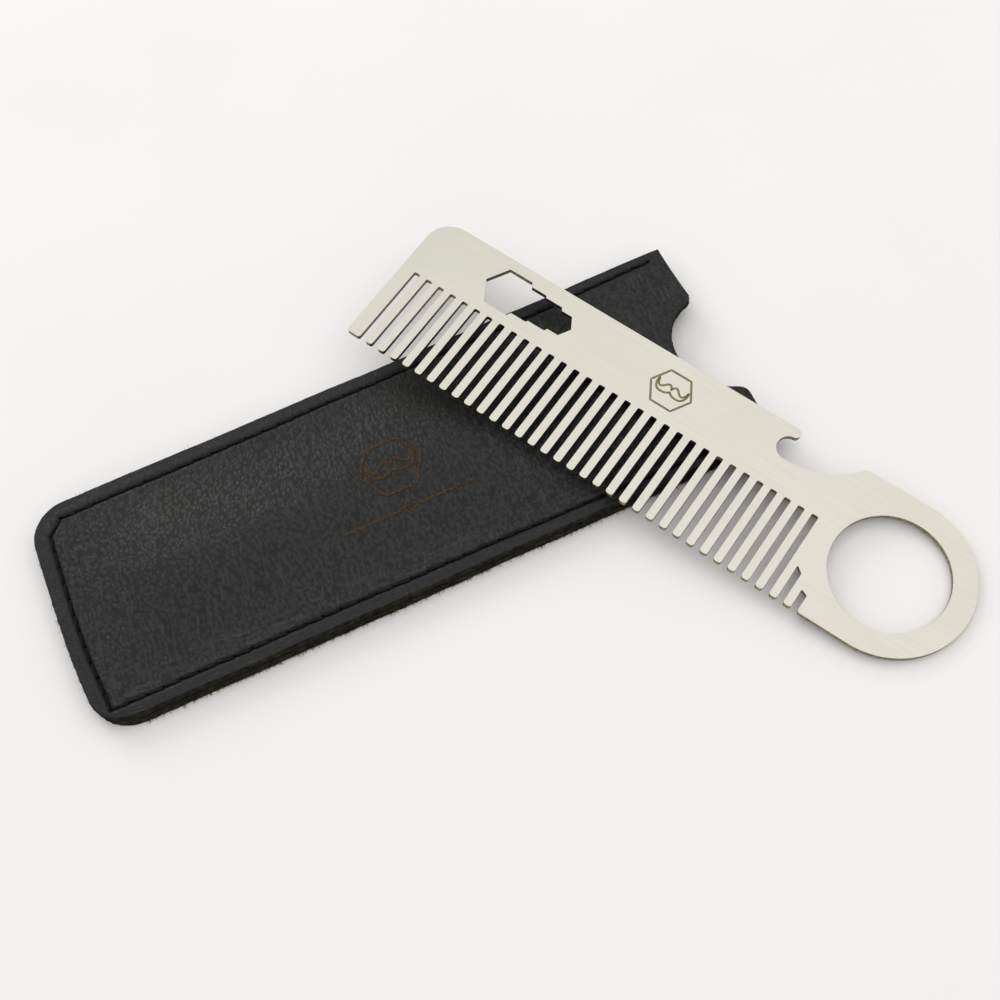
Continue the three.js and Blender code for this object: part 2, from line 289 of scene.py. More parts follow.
def grained_cowhide():
    material, tree, output = new_material("black_grained_cowhide")
    place = on_sheath(tree)
    margin = past_the_seam(tree, place)
    wander = add(tree, "TexNoise", {"Vector": place, "Scale": per_mm(wander_size), "Detail": 2})
    nudge = add(tree, "VectorMath", {0: wander.outputs["Color"], 1: (0.5, 0.5, 0.5)},
                operation="SUBTRACT")
    shift = add(tree, "VectorMath", {0: nudge.outputs["Vector"], "Scale": 1.1 * MM},
                operation="SCALE")
    warped = add(tree, "VectorMath", {0: place, 1: shift.outputs["Vector"]}, operation="ADD")
    drawn_out = add(tree, "Mapping", {
        "Vector": warped.outputs["Vector"], "Rotation": (0, 0, math.radians(across_folds[0])),
        "Scale": (0.9, 1.25, 1)}, vector_type="TEXTURE")
    pebbles = add(tree, "TexVoronoi", {
        "Vector": drawn_out.outputs["Vector"], "Scale": per_mm(pebble_size), "Smoothness": 0.2},
        feature="SMOOTH_F1")
    domes = add(tree, "MapRange", {
        "Value": pebbles.outputs["Distance"], "From Min": 0.8, "From Max": 0.15},
        interpolation_type="SMOOTHSTEP")
    pores = add(tree, "TexNoise", {
        "Vector": place, "Scale": per_mm(pore_size), "Detail": 4, "Roughness": 0.62})
    grain = plus(tree, pores.outputs["Fac"], 0.9, domes.outputs["Result"])
    stretched = add(tree, "TexNoise", {"Vector": place, "Scale": per_mm(stretch_size), "Detail": 3})
    folded = add(tree, "MapRange", {
        "Value": stretched.outputs["Fac"], "From Min": 0.30, "From Max": 0.52})
    across = product(tree, fold_lines(tree, warped.outputs["Vector"], *across_folds),
                     folded.outputs["Result"])
    parts = add(tree, "SeparateXYZ", {"Vector": place})
    near_seam = add(tree, "MapRange", {
        "Value": parts.outputs["Y"], "From Min": -13 * MM, "From Max": -20 * MM})
    beside = product(tree, fold_lines(tree, warped.outputs["Vector"], *seam_folds),
                     near_seam.outputs["Result"])
    height = plus(tree, across, 0.8, plus(tree, beside, 1.2, grain))
    evened = add(tree, "MapRange", {"Value": margin, "To Min": 1.0, "To Max": 0.6})
    relief = add(tree, "Bump", {
        "Strength": evened.outputs["Result"], "Distance": 0.075 * MM, "Height": height})
    # Painted shade: the coat is coloured darker in the valleys between the pebbles than on their
    # tops.
    tone = ramp(tree, domes.outputs["Result"], (0.1, linear("#070808")), (0.8, linear("#191b1a")))
    crests = add(tree, "Math", {0: across, 1: beside}, operation="MAXIMUM").outputs["Value"]
    # Painted highlight: the coat is mixed paler along the fold crests.
    crest_highlight = add(tree, "Mix", {0: crests, 6: tone, 7: linear("#232524")}, data_type="RGBA")
    coat = add(tree, "Mix", {0: margin, 6: crest_highlight.outputs[2], 7: linear("#101214")},
               data_type="RGBA")
    # Painted shade: the coat is darkened, and its reflection dimmed, in the stitch channel and
    # needle holes.
    channel = add(tree, "Attribute", attribute_name="seam_painted_shade").outputs["Fac"]
    channel_shaded = add(tree, "Mix", {0: channel, 6: coat.outputs[2], 7: linear("#030303")},
                 data_type="RGBA")
    channel_reflection_shaded = add(tree, "Mix", {0: channel, 6: linear("#ffffff"), 7: linear("#000000")},
                 data_type="RGBA")
    gloss = add(tree, "MapRange", {
        "Value": domes.outputs["Result"], "To Min": 0.58, "To Max": 0.38})
    hide = add(tree, "BsdfPrincipled", {
        "Base Color": channel_shaded.outputs[2], "Roughness": gloss.outputs["Result"],
        "Specular IOR Level": 0.31, "Specular Tint": channel_reflection_shaded.outputs[2],
        "Normal": relief.outputs["Normal"]})
    tree.links.new(hide.outputs["BSDF"], output.inputs["Surface"])
    return material


# %% [markdown]
# ## The raw side of the hide
#
# Where the hide is cut, and on its lower side, there is no finish: only packed fibres, dyed
# nearly black. The dye has not reached the lowest of them, so a thin tan line shows along
# the floor. Fibres are drawn 0.2 mm wide, a few times coarser than real ones. They scatter
# light, so there is no gloss.


# %% Leather flesh side and cut edge
def raw_hide_edge():
    material, tree, output = new_material("raw_hide_edge")
    place = on_sheath(tree)
    fibres = add(tree, "TexNoise", {
        "Vector": place, "Scale": per_mm(0.22), "Detail": 5, "Roughness": 0.7})
    dye = add(tree, "TexNoise", {"Vector": place, "Scale": per_mm(1.6), "Detail": 3})
    mixed = add(tree, "Math", {0: dye.outputs["Fac"], 1: 0.6, 2: fibres.outputs["Fac"]},
                operation="MULTIPLY_ADD")
    dyed = ramp(tree, mixed.outputs["Value"],
                (0.55, linear("#080807")), (0.82, linear("#25241e")), (1.0, linear("#3f3a2f")))
    parts = add(tree, "SeparateXYZ", {"Vector": place})
    uneven = add(tree, "Math", {0: dye.outputs["Fac"], 1: -0.9 * MM, 2: parts.outputs["Z"]},
                 operation="MULTIPLY_ADD")
    undyed = add(tree, "MapRange", {
        "Value": uneven.outputs["Value"], "From Min": 0.05 * MM, "From Max": -0.25 * MM})
    tint = add(tree, "Mix", {0: undyed.outputs["Result"], 6: dyed, 7: linear("#52422f")},
               data_type="RGBA")
    relief = add(tree, "Bump", {
        "Strength": 1.0, "Distance": 0.16 * MM, "Height": fibres.outputs["Fac"]})
    hide = add(tree, "BsdfPrincipled", {
        "Base Color": tint.outputs[2], "Roughness": 0.95, "Specular IOR Level": 0.08,
        "Normal": relief.outputs["Normal"]})
    tree.links.new(hide.outputs["BSDF"], output.inputs["Surface"])
    return material


# %% [markdown]
# ## Thread, loose fibres and the burned mark
#
# The thread is bonded polyester in three plies, black, with a slight shine from its wax.
# The fibres that stand out from the cut edge are black, and tan where the dye has not
# reached them. The mark on the sheath is burned in by laser, which turns the black finish
# to a dull brown.


# %% Thread, fibre and burned-mark materials
def waxed_thread():
    material, tree, output = new_material("waxed_polyester_thread")
    place = on_sheath(tree)
    lint = add(tree, "TexNoise", {"Vector": place, "Scale": per_mm(0.1), "Detail": 3})
    tint = ramp(tree, lint.outputs["Fac"],
                (0.3, linear("#040405")), (0.7, linear("#0b0b0e")))
    relief = add(tree, "Bump", {
        "Strength": 0.5, "Distance": 0.02 * MM, "Height": lint.outputs["Fac"]})
    yarn = add(tree, "BsdfPrincipled", {
        "Base Color": tint, "Roughness": 0.6, "Specular IOR Level": 0.2,
        "Normal": relief.outputs["Normal"]})
    tree.links.new(yarn.outputs["BSDF"], output.inputs["Surface"])
    return material


def loose_fibre():
    material, tree, output = new_material("loose_hide_fibre")
    place = on_sheath(tree)
    lengthways = add(tree, "TexNoise", {"Vector": place, "Scale": per_mm(3), "Detail": 2})
    parts = add(tree, "SeparateXYZ", {"Vector": place})
    low = plus(tree, lengthways.outputs["Fac"], -1.2 * MM, parts.outputs["Z"])
    undyed = add(tree, "MapRange", {"Value": low, "From Min": 0.4 * MM, "From Max": -0.4 * MM})
    tint = ramp(tree, undyed.outputs["Result"],
                (0.0, linear("#14120f")), (1.0, linear("#94765a")))
    hair = add(tree, "BsdfPrincipled", {
        "Base Color": tint, "Roughness": 0.9, "Specular IOR Level": 0.1})
    tree.links.new(hair.outputs["BSDF"], output.inputs["Surface"])
    return material


def burned_mark():
    material, tree, output = new_material("burned_leather_mark")
    place = on_sheath(tree)
    char = add(tree, "TexNoise", {
        "Vector": place, "Scale": per_mm(0.5), "Detail": 4, "Roughness": 0.7})
    tint = ramp(tree, char.outputs["Fac"],
                (0.35, linear("#1a140e")), (0.6, linear("#4a3620")))
    relief = add(tree, "Bump", {
        "Strength": 0.8, "Distance": 0.05 * MM, "Height": char.outputs["Fac"]})
    burn = add(tree, "BsdfPrincipled", {
        "Base Color": tint, "Roughness": 0.8, "Specular IOR Level": 0.3,
        "Normal": relief.outputs["Normal"]})
    tree.links.new(burn.outputs["BSDF"], output.inputs["Surface"])
    return material


# %% [markdown]
# ## Putting a piece in its place
#
# Each piece is drawn in the frame of the part that it belongs to, so that its outline and
# its patterns follow that part. The comb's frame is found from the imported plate: the tilt
# from its largest face, and the corner from its box. The sheath's frame has U from the
# closed end to the mouth and V across it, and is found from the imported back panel. The
# comb keeps its frame as the object's own, so its brushing runs along it. Every other
# piece has its points moved into place instead: its own axes stay those of the room, which
# keeps its box tight, and the leather's material finds U and V again from the same numbers.

# %% Frames of the two parts
comb_length = 139.0
comb_height = 35.0
plate_thickness = 1.2
sheath_length = 149.0
half_width = 26.2
sheath_turn = math.radians(59.7)

plate_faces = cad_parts["comb_plate"].data.polygons
broad_face = max(plate_faces, key=lambda face: face.area)
comb_lean = math.atan2(abs(broad_face.normal.x), abs(broad_face.normal.z))
plate_low, plate_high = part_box("comb_plate")
comb_corner = Vector((
    plate_high.x - MM * (comb_length * math.cos(comb_lean) + plate_thickness * math.sin(comb_lean)),
    plate_low.y,
    MM * comb_length * math.sin(comb_lean)))
comb_frame = Matrix.Translation(comb_corner) @ Matrix.Rotation(comb_lean, 4, "Y")

lengthways = Vector((math.cos(sheath_turn), math.sin(sheath_turn), 0))
sideways = Vector((-math.sin(sheath_turn), math.cos(sheath_turn), 0))
back_corners = [vertex.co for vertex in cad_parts["sheath_back_panel"].data.vertices]
closed_end = min(corner.dot(lengthways) for corner in back_corners)
side_places = [corner.dot(sideways) for corner in back_corners]
centre_line = (min(side_places) + max(side_places)) / 2
sheath_origin = closed_end * lengthways + centre_line * sideways
sheath_frame = Matrix.Translation(sheath_origin) @ Matrix.Rotation(sheath_turn, 4, "Z")
print(f"comb leans {math.degrees(comb_lean):.2f} degrees; sheath starts at {sheath_origin[:]}")

# %% [markdown]
# ## The finishes, made once
#
# Each finish becomes one material, shared by all pieces that have it. They are made here,
# and not earlier, because the leather's patterns need the sheath's place and turn.

# %% Materials for the pieces
steel_face, steel_wall, steel_mark = brushed_stainless(), laser_cut_wall(), laser_mark()
cowhide, hide_edge, hide_burn = grained_cowhide(), raw_hide_edge(), burned_mark()
thread_yarn, hide_fibre = waxed_thread(), loose_fibre()
print("materials:", [material.name for material in bpy.data.materials])


# %% A mesh from points and faces
def new_piece(name, points, faces, materials, place):
    """A smooth-shaded object from points in millimetres, moved to its part's place."""
    mesh = bpy.data.meshes.new(name)
    mesh.from_pydata((np.asarray(points) * MM).tolist(), [], [list(face) for face in faces])
    mesh.transform(place)
    for material in materials:
        mesh.materials.append(material)
    mesh.polygons.foreach_set("use_smooth", [True] * len(mesh.polygons))
    mesh.update()
    piece = bpy.data.objects.new(name, mesh)
    bpy.context.scene.collection.objects.link(piece)
    print(f"{name}: {len(mesh.vertices)} points, {len(mesh.polygons)} faces")
    return piece


# %% [markdown]
# ## The comb plate
#
# The plate could be a box with cutters taken out of it. An outline is better here: the
# laser follows one, and it gives clean straight walls. The outline is walked once round,
# from the ring along the tooth tips and slots, up the end, and back along the opener. The
# finger hole and the stepped hexagon are two more loops. The flat shape is filled, raised
# to the sheet's thickness, and its rims are rounded by about a tenth of a millimetre, as
# tumbling leaves them: that small rounding is what catches the light on every tooth.

# %% Comb dimensions
tooth_length, tooth_width, slot_width, end_tooth_width = 20.0, 1.7, 1.5, 3.3
tooth_tip, end_tooth_tip, slot_corner, shortest_slot = 0.65, 0.8, 0.4, 3.0
back_corner = 6.0
ring_radius = comb_height / 2
ring_centre = (comb_length - ring_radius, comb_height / 2)
finger_hole = 12.5
hexagons = [(10.0, 22.8), (8.0, 27.7), (7.0, 32.4), (5.5, 35.9)]
hexagon_line = (tooth_length + comb_height) / 2
opener_place, opener_depth, opener_pocket = 30.1, 5.0, 2.75
opener_nose, opener_setback, opener_flat = 1.2, 0.75, 1.1
opener_sweep, opener_lip = 17.2, 2.0
rim_rounding = 0.09
last_full_slot = ring_centre[0] - ring_radius + 0.01


# %% Outline helpers
def arc(centre, radius, start, end, steps=24):
    """Points along an arc, from one angle to another in degrees."""
    turns = np.radians(np.linspace(start, end, steps + 1))
    return [(centre[0] + radius * math.cos(t), centre[1] + radius * math.sin(t)) for t in turns]


def corner_curve(before, corner, after, radius, steps=7):
    """A corner cut by a curve that starts and ends this far from it."""
    before, corner, after = (Vector(p) for p in (before, corner, after))
    start = corner + (before - corner).normalized() * radius
    end = corner + (after - corner).normalized() * radius
    shares = [step / steps for step in range(steps + 1)]
    curve = [start * (1 - s) ** 2 + corner * 2 * s * (1 - s) + end * s ** 2 for s in shares]
    return [tuple(point) for point in curve]


# %% Tooth side of the comb
def slot_tops():
    """Each slot's left side, and how high its two sides reach, from the end tooth on."""
    slots, left = [], end_tooth_width
    while left < ring_centre[0]:
        tops = []
        for place in (left + slot_width / 2, left + slot_width):
            across = min(ring_radius, abs(ring_centre[0] - place))
            round_ring = ring_centre[1] - math.sqrt(ring_radius ** 2 - across ** 2)
            clear = left + slot_width <= last_full_slot
            tops.append(tooth_length if clear else min(tooth_length, round_ring))
        if tops[1] < shortest_slot:
            break
        slots.append((left, *tops))
        left += tooth_width + slot_width
    return slots


def toothed_edge():
    """The tooth tips and the slots between them, from the ring to the end tooth."""
    points, edge = [(ring_centre[0], 0)], (ring_centre[0], 0)
    for left, left_top, right_top in reversed(slot_tops()):
        right = left + slot_width
        walk = [edge, (right, 0), (right, right_top), (left, left_top), (left, 0),
                (left - tooth_width / 2, 0)]
        radii = [tooth_tip, slot_corner, slot_corner, tooth_tip]
        for i, radius in enumerate(radii, 1):
            points += corner_curve(walk[i - 1], walk[i], walk[i + 1], radius)
        edge = walk[-1]
    return points + corner_curve(edge, (0, 0), (0, tooth_length), end_tooth_tip)


# %% Back of the comb, with the bottle opener
def opener_edge():
    """The bottle opener: a nose, a round pocket under it, and a long sweep to the ring."""
    pocket = (ring_centre[0] - opener_place, comb_height - opener_depth)
    nose = (pocket[0] - opener_setback, comb_height - opener_nose)
    sweep = (pocket[0] + opener_flat, pocket[1] - opener_pocket + opener_sweep)
    rise = sweep[1] - comb_height + opener_lip
    reach = math.sqrt((opener_sweep + opener_lip) ** 2 - rise ** 2)
    lip_turn = math.degrees(math.atan2(-rise, reach))
    pocket_turn = 180 - math.degrees(math.acos(opener_setback / opener_pocket))
    return (arc(nose, opener_nose, 90, -90, 16)
            + arc(pocket, opener_pocket, pocket_turn, 270)
            + arc(sweep, opener_sweep, -90, lip_turn, 32)
            + arc((sweep[0] + reach, comb_height - opener_lip), opener_lip, 180 + lip_turn, 90, 12))


def comb_outline():
    """The whole outline, walked once round from the ring's lowest point."""
    corner = arc((back_corner, comb_height - back_corner), back_corner, 180, 90)
    ring = arc(ring_centre, ring_radius, 90, -90, 120)
    return toothed_edge() + corner + opener_edge() + ring[:-1]


# %% The stepped hexagon
def stepped_hexagon():
    """The joined outline of the hexagons, each with a corner on the comb's centre line."""
    slope = math.sqrt(3)
    first, centre = hexagons[0]
    top = [(centre - first / slope, 0), (centre - first / slope / 2, first / 2)]
    for (size, centre), (next_size, next_centre) in zip(hexagons, hexagons[1:]):
        reach, next_reach = size / slope, next_size / slope
        top.append((centre + reach / 2, size / 2))
        meet = (centre + reach + next_centre - next_reach) / 2
        height = slope * (centre + reach - meet)
        if height > next_size / 2:
            top.append((centre + reach - next_size / 2 / slope, next_size / 2))
        else:
            top += [(meet, height), (next_centre - next_reach / 2, next_size / 2)]
    size, centre = hexagons[-1]
    top += [(centre + size / slope / 2, size / 2), (centre + size / slope, 0)]
    under = [(x, -y) for x, y in reversed(top[1:-1])]
    return [(x, hexagon_line + y) for x, y in top + under]


# %% Fill, raise and round the plate
least_step, same_level = 0.004, 0.01
rim_angle, shading_angle = math.radians(80), math.radians(50)
wall_share, face_share = 0.2, 0.999


def cut_plate(name, loops, thickness, materials, place):
    """A plate cut along loops: the first is its outline, and the others are holes."""
    cut = bmesh.new()
    edges = []
    for loop in loops:
        kept = [p for i, p in enumerate(loop) if math.dist(p, loop[i - 1]) > least_step]
        corners = [cut.verts.new((x * MM, y * MM, 0)) for x, y in kept]
        edges += [cut.edges.new(pair) for pair in zip(corners, corners[1:] + corners[:1])]
    bmesh.ops.triangle_fill(cut, use_beauty=True, edges=edges)
    raised = bmesh.ops.extrude_face_region(cut, geom=cut.faces[:])["geom"]
    lifted = [item for item in raised if isinstance(item, bmesh.types.BMVert)]
    bmesh.ops.translate(cut, verts=lifted, vec=(0, 0, thickness * MM))
    bmesh.ops.recalc_face_normals(cut, faces=cut.faces[:])
    rims = [edge for edge in cut.edges
            if abs(edge.verts[0].co.z - edge.verts[1].co.z) < same_level * MM
            and edge.calc_face_angle(0) > rim_angle]
    bmesh.ops.bevel(cut, geom=rims, offset=rim_rounding * MM, segments=2, profile=0.5,
                    affect="EDGES", clamp_overlap=True)
    for face in cut.faces:
        face.smooth = True
        face.material_index = 1 if abs(face.normal.z) < wall_share else 0
    for edge in cut.edges:
        flat = [abs(face.normal.z) > face_share for face in edge.link_faces]
        edge.smooth = all(flat) or not any(flat)
        if edge.calc_face_angle(0) > shading_angle:
            edge.smooth = False
    mesh = bpy.data.meshes.new(name)
    cut.to_mesh(mesh)
    cut.free()
    for material in materials:
        mesh.materials.append(material)
    piece = bpy.data.objects.new(name, mesh)
    bpy.context.scene.collection.objects.link(piece)
    piece.matrix_world = place
    print(f"{name}: {len(mesh.vertices)} points, {len(mesh.polygons)} faces")
    return piece


ring_hole = arc(ring_centre, finger_hole, 0, 360, 180)[:-1]
comb = cut_plate("fine_comb_plate", [comb_outline(), ring_hole, stepped_hexagon()],
                 plate_thickness, [steel_face, steel_wall], comb_frame)
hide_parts("comb_plate")
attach(comb, "comb")

# %% [markdown]
# ## The sheath's outline
#
# Both panels have straight sides, rounded corners at the closed end, square corners at the
# mouth, and a thumb notch with soft shoulders. The back panel's notch is cut a little wider
# and deeper. At any V, the edge of the closed end and the edge of the mouth are each one
# formula. A sheet cut by hand is never quite true, so the finished line is bent afterwards:
# the closed end bows out in the middle, the far side flares towards the mouth, and all of
# it wavers by a tenth of a millimetre. Along the near side the knife leaned, so there the
# upper edge lies up to 0.85 mm inside the lower one and the cut wall faces up a little.

# %% Outline of the leather
closed_corner = 8.0
front_notch, back_notch = 12.0, 14.2
notch_beyond, notch_shoulder, notch_offset = 2.0, 2.5, -1.6
lip = 0.14


def shoulder_reach(notch):
    """How far to each side of a notch of this radius its shoulders end."""
    return math.sqrt((notch + notch_shoulder) ** 2 - (notch_beyond + notch_shoulder) ** 2)


def closed_edge(v, inset):
    """U of the closed end at V, for an outline drawn this far inside the true one."""
    into = np.clip(np.abs(v) - (half_width - closed_corner), 0, closed_corner - inset)
    return closed_corner - np.sqrt((closed_corner - inset) ** 2 - into ** 2)


def mouth_edge(v, inset, notch):
    """U of the mouth at V, with its notch of this radius and the notch's shoulders."""
    across = np.abs(v - notch_offset)
    round_notch, round_shoulder = notch + inset, notch_shoulder - inset
    reach = round_notch * shoulder_reach(notch) / (notch + notch_shoulder)
    hollow = (sheath_length + notch_beyond
              - np.sqrt(np.maximum(round_notch ** 2 - across ** 2, 0)))
    past = np.clip(shoulder_reach(notch) - across, 0, round_shoulder)
    shoulder = sheath_length - notch_shoulder + np.sqrt(round_shoulder ** 2 - past ** 2)
    return np.where(across <= reach, hollow, shoulder)


# %% [markdown]
# ## Uneven surfaces
#
# Creases, bulges and ragged edges all come from one kind of noise: random heights on a
# grid, joined by smooth slopes. The grid's two cell sizes in millimetres set how wide and
# how long the bumps are, and the seed fixes which bumps come out.


# %% Noise
def bumps(u, v, size_u, size_v, seed):
    """Smooth random heights from -1 to 1, with cells of the given size in millimetres."""
    heights = np.random.default_rng(seed).uniform(-1, 1, (257, 257))
    a, b = u / size_u + 20.0, v / size_v + 60.0
    i, j = np.floor(a).astype(int), np.floor(b).astype(int)
    s, t = a - i, b - j
    s, t = s * s * (3 - 2 * s), t * t * (3 - 2 * t)
    i, j, i1, j1 = i % 257, j % 257, (i + 1) % 257, (j + 1) % 257
    return ((heights[i, j] * (1 - s) + heights[i1, j] * s) * (1 - t)
            + (heights[i, j1] * (1 - s) + heights[i1, j1] * s) * t)


def creases(u, v, size_u, size_v, seed):
    """Narrow folds: 1 on the fold's line, falling to 0 between folds."""
    return (1 - np.abs(bumps(u, v, size_u, size_v, seed))) ** 4


def fade(value, start, end):
    """A smooth step from 0 at start to 1 at end."""
    share = np.clip((value - start) / (end - start), 0, 1)
    return share * share * (3 - 2 * share)


# %% [markdown]
# ## The seam line
#
# The machine has sewn three sides in one go, about 3.5 mm in from the edge, starting and
# stopping just short of the mouth. The operator turned sharply at one corner and cut across
# the other. The holes are a stitch length of 3.9 mm apart.

# %% Seam line
stitch_length = 3.9
# Painted shade of the stitch channel: its strength, and in mm its width and the needle holes'
# radius.
channel_dark, dark_width, dark_hole = 0.85, 0.42, 0.3
seam_turns = [(145.4, 24.1), (118.0, 23.5), (60.0, 22.9), (6.6, 22.5), (3.6, 19.4),
              (3.2, 0.0), (3.3, -22.5), (60.0, -22.6), (118.0, -23.1), (145.4, -23.5)]


def stitch_holes():
    """The needle's holes, evenly spaced along each straight run of the seam."""
    holes = []
    for start, end in zip(seam_turns, seam_turns[1:]):
        run = math.dist(start, end)
        count = max(1, round(run / stitch_length))
        for step in range(count):
            share = step / count
            holes.append((start[0] + (end[0] - start[0]) * share,
                          start[1] + (end[1] - start[1]) * share))
    return holes + [seam_turns[-1]]


holes = stitch_holes()


def seam_distance(u, v):
    """How far points lie from the seam line."""
    nearest = np.full(np.shape(u), 1e3)
    for (u0, v0), (u1, v1) in zip(seam_turns, seam_turns[1:]):
        run = np.array([u1 - u0, v1 - v0])
        share = np.clip(((u - u0) * run[0] + (v - v0) * run[1]) / (run @ run), 0, 1)
        nearest = np.minimum(nearest, np.hypot(u - u0 - share * run[0], v - v0 - share * run[1]))
    return nearest


def hole_dimples(u, v, radius):
    """1 at each needle hole, falling off within about its radius."""
    deepest = np.zeros(np.shape(u))
    for hole_u, hole_v in holes:
        near = np.exp(-((u - hole_u) ** 2 + (v - hole_v) ** 2) / radius ** 2)
        deepest = np.maximum(deepest, near)
    return deepest


def channel_shade(u, v):
    """How much painted shade darkens the coat: most in the holes, and some along the channel."""
    along = channel_dark * np.exp(-(seam_distance(u, v) / dark_width) ** 2)
    return np.minimum(along + hole_dimples(u, v, dark_hole), 1)


print(f"{len(holes)} needle holes")

# %% [markdown]
# ## The shape of the leather
#
# The front panel has been wet-formed over the comb, so it rises over the pocket and drops
# to a flat margin outside the seam. The stitches pull a channel into the surface, and the
# leather swells beside them. Short creases run across the sheath, where the hide was
# stretched. Along the near seam they turn and run with it, where the pocket wall folds.
# The panel must stay under the comb, so its surface is held below the comb's underside.

# %% Heights of the front panel
leather = 1.9
seam_gap = 0.3
crown_height = 2.2
crown_rise = 24.0
crown_start = 4.5
crown_half = half_width - crown_start
comb_clearance = 0.12
channel_depth, channel_width = 0.24, 0.45
dimple_depth, dimple_radius = 0.18, 0.36
swell_height, swell_place, swell_width = 0.05, 1.2, 0.6


def crown(u, v):
    """How far the pocket is formed up at a point."""
    across = np.minimum(1, np.abs(v) / crown_half)
    along = np.clip((u - crown_start) / crown_rise, 0, 1)
    return crown_height * np.cos(across * np.pi / 2) ** 2 * np.sin(along * np.pi / 2) ** 2


def under_comb(u, v):
    """The comb's underside above a point of the sheath, or a large height beside it."""
    x = u * math.cos(sheath_turn) - v * math.sin(sheath_turn) + sheath_origin.x / MM
    y = u * math.sin(sheath_turn) + v * math.cos(sheath_turn) + sheath_origin.y / MM
    beneath = (y > plate_low.y / MM - 2) & (y < plate_high.y / MM + 2)
    height = math.tan(comb_lean) * (plate_high.x / MM - x)
    return np.where(beneath, height, 99.0)


def front_top(u, v):
    """The grain side: bulges, creases across, folds beside the near seam, and the seam."""
    seam = seam_distance(u, v)
    edge_v = half_width - np.abs(v)
    inside = fade(seam, 0.6, 3.0) * fade(edge_v, 3.0, 4.5) * fade(u, 3.0, 4.5)
    height = 2 * leather + seam_gap + crown(u, v)
    height = height + 0.10 * bumps(u, v, 14, 11, 1) + 0.05 * bumps(u, v, 5, 4, 2)
    stretched = 0.35 + 0.65 * fade(-u, -90, -10)
    across = creases(u - 0.15 * v, v, 2.1, 7.5, 3) + creases(u - 0.2 * v, v, 1.5, 5.0, 4)
    height = height + 0.045 * across * inside * stretched
    folding = fade(-v, 10, 20) * inside
    height = height - 0.10 * creases(u, v + 0.02 * u, 8.0, 1.5, 5) * folding
    height = height - 0.06 * creases(u, v - 0.03 * u, 4.5, 1.1, 6) * folding
    height = height + 0.02 * bumps(u, v, 0.9, 0.9, 7) + 0.012 * bumps(u, v, 0.6, 0.6, 8)
    height = height + swell_height * np.exp(-((seam - swell_place) / swell_width) ** 2)
    height = height - channel_depth * np.exp(-(seam / channel_width) ** 2)
    height = height - dimple_depth * hole_dimples(u, v, dimple_radius)
    return np.minimum(height, under_comb(u, v) - comb_clearance)


def front_under(u, v):
    """The pocket's ceiling, and the flat margin round it."""
    return leather + seam_gap + crown(u, v)


# %% Heights of the back panel
bobbin_depth = bobbin_width = 0.75


def back_top(u, v):
    """The pocket's floor."""
    return leather + 0.05 * bumps(u, v, 6, 6, 11)


def back_under(u, v):
    """The underside, just off the floor, with a channel in which the thread lies."""
    height = 0.06 + 0.05 * bumps(u, v, 8, 8, 12)
    height = height + bobbin_depth * np.exp(-(seam_distance(u, v) / bobbin_width) ** 2)
    return np.maximum(height, 0.0)


# %% [markdown]
# ## Building a sheet of leather
#
# A panel is a grid of points, closer together along its edges and round its corners. The
# front panel's grain side uses every point. The sides that are seen less use every second,
# fourth or fifth one, but keep all those on their border, so that the two sides of a panel
# join without a gap. Between them runs the cut edge: a rounded lip, a rough wall whose
# fibres stand out unevenly, and a small lower rounding. The upper side of each panel has
# the finish, and its cut edge and lower side are raw.


# %% Grid lines
corner_lines, corner_reach = 24, 7.0
least_across, least_along = 0.06, 0.02


def spread(start, end, step):
    """Even places from start to end, about this step apart."""
    return list(np.linspace(start, end, max(2, round(abs(end - start) / step) + 1)))


def grid_lines(fine, coarse, notch, sides):
    """Places across the sheath, and shares along it, at which the grid has its lines."""
    corner_v = half_width - closed_corner
    turn = np.radians(np.linspace(0, 90, corner_lines))
    radius = closed_corner - lip
    across = [corner_v + radius * math.sin(t) for t in turn]
    across += spread(corner_v, half_width - lip, fine)
    across += [-place for place in across]
    across += spread(-corner_v, corner_v, coarse)
    shoulder = spread(notch * 0.9, shoulder_reach(notch) + 0.2, fine)
    across += [notch_offset + s for s in shoulder] + [notch_offset - s for s in shoulder]
    across = thinned(across, least_across, sides)
    first = corner_reach / sheath_length
    along = spread(0, first, fine / sheath_length) + spread(first, 1, coarse / sheath_length)
    return across, thinned(along, least_along / sheath_length, sides)


def thinned(places, least, multiple):
    """Sorted places without near doubles, their count one more than a multiple."""
    places = sorted(places)
    kept = [places[0]]
    for place in places[1:-1]:
        if place - kept[-1] > least and places[-1] - place > least:
            kept.append(place)
    kept.append(places[-1])
    while (len(kept) - 1) % multiple:
        gaps = np.diff(kept)
        widest = int(np.argmax(gaps))
        kept.insert(widest + 1, (kept[widest] + kept[widest + 1]) / 2)
    return np.array(kept)


# %% Faces of a grid, fine or coarse
def grid_cells(rows, columns, step, flip):
    """Faces over a grid, each spanning this many lines, with every point on the border."""
    faces = []
    for row in range(0, rows - 1, step):
        for column in range(0, columns - 1, step):
            r, c = row + step, column + step
            low = range(column, c) if row == 0 else [column]
            right = range(row, r) if c == columns - 1 else [row]
            high = range(c, column, -1) if r == rows - 1 else [c]
            left = range(r, row, -1) if column == 0 else [r]
            ring = [row * columns + i for i in low]
            ring += [i * columns + c for i in right]
            ring += [r * columns + i for i in high]
            ring += [i * columns + column for i in left]
            faces.append(ring[::-1] if flip else ring)
    return faces


def border(rows, columns):
    """The grid's border, in order, as indices."""
    ring = list(range(columns - 1))
    ring += [i * columns + columns - 1 for i in range(rows - 1)]
    ring += [(rows - 1) * columns + i for i in range(columns - 1, 0, -1)]
    return ring + [i * columns for i in range(rows - 1, 0, -1)]


